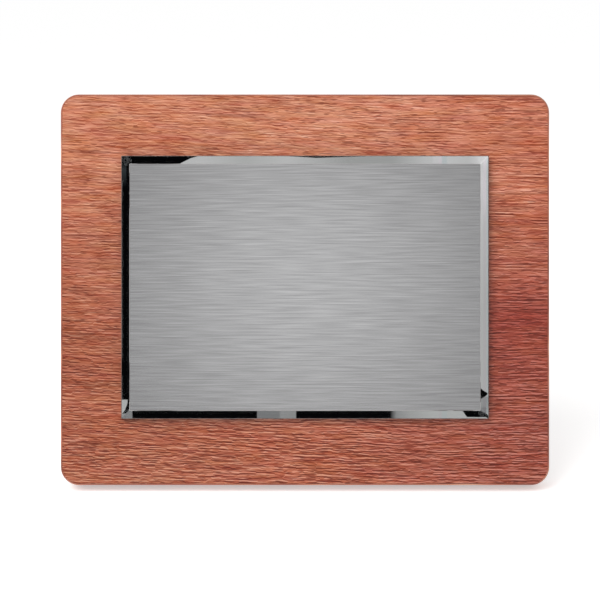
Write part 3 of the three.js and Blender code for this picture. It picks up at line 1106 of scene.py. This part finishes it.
class BevelSide(Enum):
    """A side of the mirror's bevel, by its outward direction across the board."""

    LEFT = (-1.0, 0.0)
    RIGHT = (1.0, 0.0)
    TOP = (0.0, 1.0)
    BOTTOM = (0.0, -1.0)


LEFT, RIGHT, TOP, BOTTOM = BevelSide


class Way(Enum):
    """How a card is seen in the mirror: through the glass in its silver, or as a gleam on the glass."""

    SILVER = "transmission"
    SURFACE = "glossy"


class Grey(Enum):
    """The tones of the studio's cards."""

    BLACK = "#050506"
    SLATE = "#2e3234"
    IRON = "#727374"
    LEAD = "#888989"
    STONE = "#989998"
    ASH = "#a8a9a8"
    SILVER = "#b6b6b6"
    MIST = "#bebfbf"
    PEARL = "#c9c7c9"
    PALE = "#dcdadb"


BLACK, SLATE, IRON, LEAD, STONE, ASH, SILVER, MIST, PEARL, PALE = Grey


class Cast(Enum):
    """The faint tint of the light on a card, as a hex multiplier."""

    NONE = "#ffffff"
    COOL = "#f6fdff"
    ROSY = "#fffafd"


@dataclass(frozen=True)
class Card:
    """A card or screen in the studio that the camera sees only as a patch on the mirror's bevel.

    Args:
        side: the bevel that shows it.
        outline: where its corners show, as (along, across) in mm: to the right of the mirror's middle or up
            from it, and in from the glass's outer edge.
        shades: its grey at each corner, or one for all.
        nearer: how far in front of the studio's card plane it hangs, in mm.
        cast: the tint of its light.
    """

    side: BevelSide
    outline: tuple[tuple[float, float], ...]
    shades: tuple[Grey, ...] = (Grey.BLACK,)
    nearer: float = 0.0
    cast: Cast = Cast.NONE

    def colours(self) -> np.ndarray:
        """The linear colour of each corner."""
        shades = self.shades * len(self.outline) if len(self.shades) == 1 else self.shades
        return np.array([linear(shade.value) for shade in shades]) * linear(self.cast.value)


@dataclass(frozen=True)
class Lamp:
    """A light that keeps out of sharp reflections: a broad box, or a sun.

    Args:
        name: its name.
        energy: its strength.
        place: where it hangs, in metres.
        aim: the point that it lights.
        angle: how wide the sun looks, in degrees, and 0 for a box.
        size: the box's width and height, in metres.
    """

    name: str
    energy: float
    place: tuple[float, float, float]
    aim: tuple[float, float, float]
    angle: float = 0.0
    size: tuple[float, float] = (0.9, 0.7)

    def hang(self) -> None:
        """Puts the light in its place, turned towards its aim."""
        light = bpy.data.lights.new(self.name, "SUN" if self.angle else "AREA")
        light.energy = self.energy
        if self.angle:
            light.angle = math.radians(self.angle)
        else:
            light.shape = "RECTANGLE"
            light.size, light.size_y = self.size
        made = bpy.data.objects.new(self.name, light)
        bpy.context.scene.collection.objects.link(made)
        made.location = Vector(self.place)
        made.rotation_euler = (Vector(self.aim) - Vector(self.place)).to_track_quat("-Z", "Y").to_euler()
        for ray in ("glossy", "transmission", "camera"):
            setattr(made, f"visible_{ray}", False)


# The key at the upper left, a broad even sun for the floor and the far side, and a box for the back
LAMPS = (
    Lamp("key_box", 6.0, (-0.62, -0.62, 0.86), (-0.03, 0.0, 0.10)),
    Lamp("even_light", 0.75, (-0.6, -1.0, 1.6), (0.0, 0.0, 0.0), angle=40.0),
    Lamp("back_box", 3.0, (0.7, 0.9, 0.8), (0.0, 0.02, 0.10)),
)


def floor_height(distance: float) -> float:
    """How high the floor is in the board's mm, at a distance in front of it, less a 1 mm gap."""
    lean = math.radians(BOARD.turn)
    return (1.0 - BOARD.place[2] + distance * math.sin(lean)) / math.cos(lean)


def light_up(card: bpy.types.Object, colours: np.ndarray, strength: float, ray: str) -> None:
    """Makes a card glow by the colour at each corner, and hides it from all rays but one kind.

    Args:
        card: the card.
        colours: a linear colour for each corner.
        strength: the glow's strength.
        ray: the kind of ray that sees it.
    """
    attribute = card.data.attributes.new("paint", "FLOAT_COLOR", "POINT")
    attribute.data.foreach_set("color", np.asarray(colours, np.float32).ravel())
    material, tree = new_material(f"{card.name}_surface")
    paint = add(tree, "Attribute", {"attribute_name": "paint"})
    glow = add(tree, "Emission", {"Strength": strength, "Color": paint})
    add(tree, "OutputMaterial", {"Surface": glow})
    material.cycles.emission_sampling = "NONE"
    card.data.materials.append(material)
    for kind in ("camera", "diffuse", "shadow", "volume_scatter", "glossy", "transmission"):
        setattr(card, f"visible_{kind}", kind == ray)


@dataclass
class GreyWall:
    """The grey wall behind the camera, paler in its middle, which the brushed plate shows as its glow.

    Its level is a base plus a bell in x and in z. Below it a grey cloth lies on the floor and comes forward
    to a little in front of the board, out of the camera's sight.

    Args:
        distance: from the board to the wall, in the board's mm like the other sizes.
        reach: half the wall's width.
        top: its upper edge.
        cloth_end: from the board to the cloth's near edge.
        level: the grey's linear level.
        glow: how much paler its middle is.
        glow_width, glow_height: how far the glow spreads.
        glow_middle: the height of its middle.
        columns, rows: the wall's grid.
    """

    distance: float = 3000.0
    reach: float = 5000.0
    top: float = 5200.0
    cloth_end: float = 130.0
    level: float = 0.305
    glow: float = 1.08
    glow_width: float = 500.0
    glow_height: float = 330.0
    glow_middle: float = 150.0
    columns: int = 60
    rows: int = 40

    def build(self) -> None:
        """Stands the wall and lays the cloth."""
        x = np.linspace(-self.reach, self.reach, self.columns + 1)
        z = np.linspace(floor_height(self.distance), self.top, self.rows + 1)
        across, up = np.meshgrid(x, z)
        bell = np.exp(-((across / self.glow_width) ** 2) - ((up - self.glow_middle) / self.glow_height) ** 2)
        wall = np.stack([across, np.full_like(across, -self.distance), up], axis=-1).reshape(-1, 3)
        near = np.stack(np.broadcast_arrays(x, -self.cloth_end, floor_height(self.cloth_end)), axis=-1)
        level = self.level + self.glow * np.concatenate([np.zeros(len(x)), bell.ravel()])
        faces = grid_faces(self.columns, self.rows + 1)
        made = mesh_object("grey_wall", BOARD.to_row(np.vstack([near, wall])), faces)
        light_up(made, np.repeat(level[:, None], 4, axis=1), 1.0, "glossy")


def unit(vectors: np.ndarray) -> np.ndarray:
    """Scales each row to a length of 1."""
    return vectors / np.linalg.norm(vectors, axis=-1, keepdims=True)


def bounced(rays: np.ndarray, normal: np.ndarray) -> np.ndarray:
    """Turns rays round at a surface: each less twice its share along the unit normal."""
    return rays - 2 * (rays @ normal)[:, None] * normal


def refract(rays: np.ndarray, normal: np.ndarray, ratio: float) -> np.ndarray:
    """Bends rays at a surface by Snell's law.

    The new ray is the ratio times the old one, plus the normal times the ratio's share of the angle's cosine
    less the new angle's cosine.

    Args:
        rays: unit directions, one a row.
        normal: the surface's unit normal, against the rays.
        ratio: the index on the ray's side over the index beyond.

    Returns:
        The bent unit directions.
    """
    cosine = -(rays @ normal)
    beyond = np.sqrt(1 - ratio**2 * (1 - cosine**2))
    return ratio * rays + (ratio * cosine - beyond)[:, None] * normal


# The silver's normal, which faces out of the board
SILVER_NORMAL = np.array([0.0, -1.0, 0.0])


@dataclass
class Studio:
    """The floor, the lights, the cards round the camera, the world and the camera.

    Args:
        mirror: the mirror that the cards show in.
        camera_distance: from the board's face, square to it, in mm.
        aim: the point on the board's face that the camera looks at, in the board's mm.
        lens: the focal length on the sensor's width.
        sensor: that width.
        card_distance: how far in front of the mirror the cards hang.
        side_gap: how much nearer the upright bevels' cards hang, clear of the level ones'.
        floor_gap: how far above the floor a card ends.
        mitre_reach: half the size of the cards that show in the mitres.
        shade_reach: half the size of the shades for the faintest rays.
        floor_reach: half the floor's size, in metres.
        floor_cells: how many quads it has each way.
        floor_lift: how much brighter the camera and gloss see it than paper.
        soft_light: the strength of the even light all round.
    """

    mirror: BevelledMirror
    camera_distance: float = 737.5
    aim: tuple[float, float, float] = (-2.6, -16.4, 96.3)
    lens: float = 85.17
    sensor: float = 36.0
    card_distance: float = 120.0
    side_gap: float = 2.0
    floor_gap: float = 0.2
    mitre_reach: float = 6.0
    shade_reach: float = 11.0
    floor_reach: float = 14.0
    floor_cells: int = 8
    floor_lift: float = 0.44
    soft_light: float = 0.42

    def eye(self) -> np.ndarray:
        """The camera's place in the board's mm."""
        x, y, z = self.aim
        return np.array([x, y - self.camera_distance, z])

    def add_camera(self) -> None:
        """Puts the camera square to the leaning face, as in the photograph."""
        data = bpy.data.cameras.new("camera")
        data.lens = self.lens
        data.sensor_width = self.sensor
        data.clip_end = 60.0
        camera = bpy.data.objects.new("camera", data)
        bpy.context.scene.collection.objects.link(camera)
        camera.location = Vector(BOARD.to_row(self.eye()))
        camera.rotation_euler = Euler((math.radians(90.0 + BOARD.turn), 0.0, 0.0))
        bpy.context.scene.camera = camera

    @staticmethod
    def seen_by(tree: Tree, kind: str, plain: Source, bright: Source) -> None:
        """Closes a tree so that the camera, gloss and glass see one shader, and the other rays another.

        Args:
            tree: the node tree.
            kind: the output node's type name, less the word ShaderNode.
            plain: the shader for the other rays.
            bright: the shader for the camera, gloss and glass.
        """
        path = add(tree, "LightPath").outputs
        seen = path["Is Camera Ray"]
        for ray in ("Is Glossy Ray", "Is Transmission Ray"):
            seen = add(tree, "Math", {"operation": "ADD", "use_clamp": True, 0: seen, 1: path[ray]})
        add(tree, kind, {"Surface": add(tree, "MixShader", {0: seen, 1: plain, 2: bright})})

    def add_floor(self) -> None:
        """Lays the pale floor: it is lit like paper, and the camera and gloss see it a step brighter."""
        edge = np.linspace(-self.floor_reach, self.floor_reach, self.floor_cells + 1)
        across, away = np.meshgrid(edge, edge)
        points = np.stack([across, away, np.zeros_like(across)], axis=-1).reshape(-1, 3)
        floor = mesh_object("studio_floor", points, grid_faces(self.floor_cells, self.floor_cells))
        material, tree = new_material("white_paper_floor")
        paper = add(tree, "BsdfDiffuse", {"Color": linear("#f4f4f4")})
        lift = add(tree, "Emission", {"Strength": self.floor_lift})
        self.seen_by(tree, "OutputMaterial", paper, add(tree, "AddShader", {0: paper, 1: lift}))
        material.cycles.emission_sampling = "NONE"
        floor.data.materials.append(material)

    def add_world(self) -> None:
        """Sets the even light all round, and the white that the camera and gloss see beyond the floor."""
        world = bpy.data.worlds.new("studio_world")
        bpy.context.scene.world = world
        world.use_nodes = True
        tree = world.node_tree
        tree.nodes.clear()
        white = {"Color": linear("#ffffff")}
        soft = add(tree, "Background", white | {"Strength": self.soft_light})
        self.seen_by(tree, "OutputWorld", soft, add(tree, "Background", white))

    def seen(
        self, side: BevelSide, outline: np.ndarray, way: Way, leaving: BevelSide, nearer: float = 0.0
    ) -> np.ndarray:
        """Follows rays from the camera by way of the bevel to the card's plane, or to a nearer floor.

        Off the surface a ray turns round by the law of reflection. Through the glass it bends at the bevel
        by Snell's law, turns round at the silver, and bends again as it leaves.

        Args:
            side: the bevel where the rays meet the glass.
            outline: rows of along and across on that bevel.
            way: whether the rays go through the glass.
            leaving: the bevel where they leave it.
            nearer: how far in front of the studio's card plane the card hangs.

        Returns:
            The card's corners in the board's mm.
        """
        mirror = self.mirror
        start = mirror.on_bevel(side, outline)
        normal = mirror.bevel_normal(side)
        ray = unit(start - self.eye())
        if way is Way.SURFACE:
            leave = start
            onward = bounced(ray, normal)
        else:
            inside = refract(ray, normal, 1 / mirror.index)
            deep = start + inside * ((mirror.back - start[:, 1]) / inside[:, 1])[:, None]
            back = bounced(inside, SILVER_NORMAL)
            far_normal = mirror.bevel_normal(leaving)
            edge = mirror.on_bevel(leaving, np.zeros((1, 2)))
            leave = deep + back * (((edge - deep) @ far_normal) / (back @ far_normal))[:, None]
            onward = refract(back, -far_normal, mirror.index)
        to_plane = (mirror.front - self.card_distance + nearer - leave[:, 1]) / onward[:, 1]
        height = BOARD.to_row(leave)[:, 2] / MM - self.floor_gap
        fall = -(onward @ BOARD.matrix()[2])
        to_floor = np.where(fall > 0, height / np.maximum(fall, 1e-6), np.inf)
        return leave + onward * np.minimum(to_plane, to_floor)[:, None]

    def add_card(self, name: str, card: Card, way: Way) -> None:
        """Hangs a card where the camera sees it in the bevel.

        Args:
            name: the card's name.
            card: the card.
            way: by which way it is seen.
        """
        nearer = card.nearer + (self.side_gap if card.side in (LEFT, RIGHT) else 0.0)
        corners = self.seen(card.side, np.array(card.outline, float), way, card.side, nearer)
        made = mesh_object(name, BOARD.to_row(corners), [range(len(corners))])
        light_up(made, card.colours(), 1 / self.mirror.passed_on, way.value)

    def add_square(self, name: str, middle: np.ndarray, reach: float, shade: Grey) -> None:
        """Hangs a small square card that is seen through the glass.

        Args:
            name: the card's name.
            middle: its middle in the board's mm.
            reach: half its size.
            shade: its grey.
        """
        corners = middle + reach * np.insert(SQUARE, 1, 0.0, axis=1)
        made = mesh_object(name, BOARD.to_row(corners), [range(len(corners))])
        light_up(made, np.array([linear(shade.value)] * 4), 1 / self.mirror.passed_on, Way.SILVER.value)

    def add_mitre_card(self, level: BevelSide, upright: BevelSide, shade: Grey) -> None:
        """Hangs the card that shows along a mitre, where rays enter by one bevel and leave by the next.

        Args:
            level: the top or bottom bevel.
            upright: the left or right bevel.
            shade: the card's grey.
        """
        middle = self.seen(level, self.mirror.corner(level, upright.value[0]), Way.SILVER, upright)
        self.add_square(f"card_{level.name}_{upright.name}", middle, self.mitre_reach, shade)

    def add_corner_shade(self, side: BevelSide, end: float) -> None:
        """Hangs a black card for the faint rays that turn round twice in the glass and leave past the plate.

        A ray bends at the bevel, turns round at the silver, at the bevel's underside and at the silver
        again, and bends as it leaves by the same bevel.

        Args:
            side: the bevel.
            end: 1 for its right or upper end, and -1 for the other.
        """
        mirror = self.mirror
        normal = mirror.bevel_normal(side)
        start = mirror.on_bevel(side, mirror.corner(side, end))
        rising = bounced(refract(unit(start - self.eye()), normal, 1 / mirror.index), SILVER_NORMAL)
        turned = bounced(bounced(rising, normal), SILVER_NORMAL)
        middle = start + self.card_distance * refract(turned, -normal, mirror.index)
        self.add_square(f"shade_{side.name}", middle, self.shade_reach, Grey.BLACK)

    def add_cards(self) -> None:
        """Hangs all the cards that show in the bevel."""
        for side, end in ((LEFT, 1.0), (TOP, -1.0), (BOTTOM, 1.0)):
            self.add_corner_shade(side, end)
        for number, card in enumerate(CARDS):
            self.add_card(f"card_{number}", card, Way.SILVER)
            if card.nearer:
                self.add_card(f"screen_{number}", card, Way.SURFACE)
        for (level, upright), shade in MITRE_SHADES.items():
            self.add_mitre_card(level, upright, shade)

    def build(self) -> None:
        """Sets up the whole studio."""
        self.add_camera()
        self.add_floor()
        self.add_world()
        for lamp in LAMPS:
            lamp.hang()
        GreyWall().build()
        self.add_cards()


# Across the bevel: all of it, and the right bevel's three bands
WHOLE = (-1.5, 6.0)
OUTER = (-1.5, 1.3)
MIDDLE = (1.3, 2.9)
INNER = (2.9, 6.0)
# How far in front of the card plane most of the screens hang, in mm
SCREEN = 12.0


def strips(
    side: BevelSide,
    stops: Sequence[tuple[float, Grey]],
    across: tuple[float, float] = WHOLE,
    nearer: float = 0.0,
    cast: Cast = Cast.NONE,
) -> list[Card]:
    """Cards that run along the bevel from one stop to the next, each shaded from its one grey to its other.

    Args:
        side: the bevel.
        stops: places in mm from the mirror's middle, with the grey at each.
        across: the two edges, in from the glass's outer edge.
        nearer: how far in front of the card plane the cards hang, in mm.
        cast: the tint of their light.

    Returns:
        The cards.
    """
    outer, inner = across
    cards = []
    for (start, first), (end, last) in zip(stops, stops[1:]):
        outline = ((start, outer), (start, inner), (end, inner), (end, outer))
        cards.append(Card(side, outline, (first, first, last, last), nearer, cast))
    return cards


# The lower end of the right bevel's middle and inner bands, seen past a screen's edge
DIM_END = ((-71.0, IRON), (-63.0, IRON), (-61.5, LEAD), (-56.5, LEAD))

# What the bevel shows in the photograph: grey walls, and black screens with gaps between them
CARDS = (
    *strips(LEFT, ((-71.0, ASH), (71.0, ASH))),
    *strips(
        TOP,
        (
            (-98.0, SILVER), (-52.0, SILVER), (-31.0, ASH), (-9.0, SILVER),
            (22.0, STONE), (45.0, STONE), (62.0, SILVER), (72.0, MIST),
            (84.0, SILVER), (98.0, PALE),
        ),
    ),
    *strips(
        BOTTOM,
        (
            (-98.0, IRON), (-13.5, IRON), (-12.5, LEAD), (44.0, IRON), (48.0, LEAD),
            (54.0, STONE), (66.0, ASH), (98.0, ASH),
        ),
    ),
    *strips(
        RIGHT,
        ((-71.0, ASH), (-8.0, ASH), (33.0, SILVER), (60.0, MIST), (71.0, PALE)),
        OUTER,
        cast=Cast.COOL,
    ),
    *strips(
        RIGHT,
        (
            (-71.0, ASH), (-8.0, ASH), (33.0, SILVER), (46.0, PEARL), (60.0, PEARL),
            (71.0, PALE),
        ),
        MIDDLE,
        cast=Cast.ROSY,
    ),
    *strips(
        RIGHT,
        ((-71.0, ASH), (-14.0, ASH), (29.0, SILVER), (54.0, PEARL), (71.0, MIST)),
        INNER,
    ),
    *strips(RIGHT, ((-71.0, STONE), (-66.0, STONE), (-56.5, LEAD)), OUTER, SCREEN, Cast.COOL),
    *strips(RIGHT, DIM_END, MIDDLE, SCREEN, Cast.ROSY),
    *strips(RIGHT, DIM_END, INNER, SCREEN),
    Card(
        LEFT,
        (
            (71.0, -1.5), (71.0, 6.0), (-60.0, 6.0), (-65.0, 3.2), (-65.5, 0.5), (-63.3, 2.0), (-60.5, 3.1),
            (-58.1, 3.4), (-58.1, -1.5),
        ),
        nearer=SCREEN,
    ),
    *strips(LEFT, ((52.0, BLACK), (60.5, SLATE), (65.0, BLACK)), (-1.5, 2.7), 1.2 * SCREEN),
    *strips(LEFT, ((-72.0, IRON), (-65.2, LEAD)), nearer=0.5 * SCREEN),
    Card(
        TOP,
        (
            (-98.0, -1.5), (-98.0, 6.0), (-65.0, 6.0), (-64.2, 3.9), (-61.8, 2.7), (-59.3, 1.4), (-54.4, 0.0),
            (-50.0, -1.5),
        ),
        nearer=SCREEN,
    ),
    Card(TOP, ((-13.0, -1.5), (-13.0, 0.0), (6.0, 1.15), (36.0, 0.1), (36.0, -1.5)), nearer=SCREEN),
    *strips(BOTTOM, ((-89.2, BLACK), (-24.8, BLACK)), nearer=SCREEN),
    *strips(BOTTOM, ((-4.6, BLACK), (44.0, BLACK)), nearer=SCREEN),
    *strips(BOTTOM, ((44.0, BLACK), (47.5, LEAD)), nearer=0.5 * SCREEN),
    Card(
        BOTTOM,
        (
            (80.6, 6.0), (81.1, 4.5), (83.7, 0.9), (94.0, 0.8), (95.5, 1.7), (93.0, 3.4), (91.0, 3.4),
            (90.3, 4.3), (90.3, 6.0),
        ),
        nearer=SCREEN,
    ),
    Card(
        RIGHT,
        (
            (-52.2, 4.2), (-52.0, 6.0), (-57.6, 6.0), (-57.6, 4.2), (-57.0, 3.0), (-56.2, 1.6), (-55.4, 0.7),
            (-54.6, 0.7), (-54.2, 1.6), (-53.3, 3.0),
        ),
        nearer=1.5 * SCREEN,
    ),
    Card(RIGHT, ((-64.5, 4.6), (-64.7, 2.3), (-66.2, 0.3), (-68.0, 0.3), (-68.0, 4.6)), nearer=1.6 * SCREEN),
)

# What shows where two bevels meet
MITRE_SHADES = {
    (TOP, LEFT): BLACK,
    (TOP, RIGHT): PALE,
    (BOTTOM, LEFT): IRON,
    (BOTTOM, RIGHT): BLACK,
}


def main() -> None:
    """Builds and dresses the sub-assemblies in order, then the studio."""
    logging.basicConfig(level=logging.INFO, format="%(name)s: %(message)s")
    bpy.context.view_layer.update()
    bpy.context.scene.view_settings.view_transform = "Standard"
    VeneeredBoard().dress()
    mirror = BevelledMirror()
    mirror.build()
    mirror.dress()
    plate = FacePlate()
    plate.build()
    plate.dress()
    BackFittings().dress()
    EaselStrut().dress()
    Studio(mirror).build()


if __name__ == "__main__":
    main()
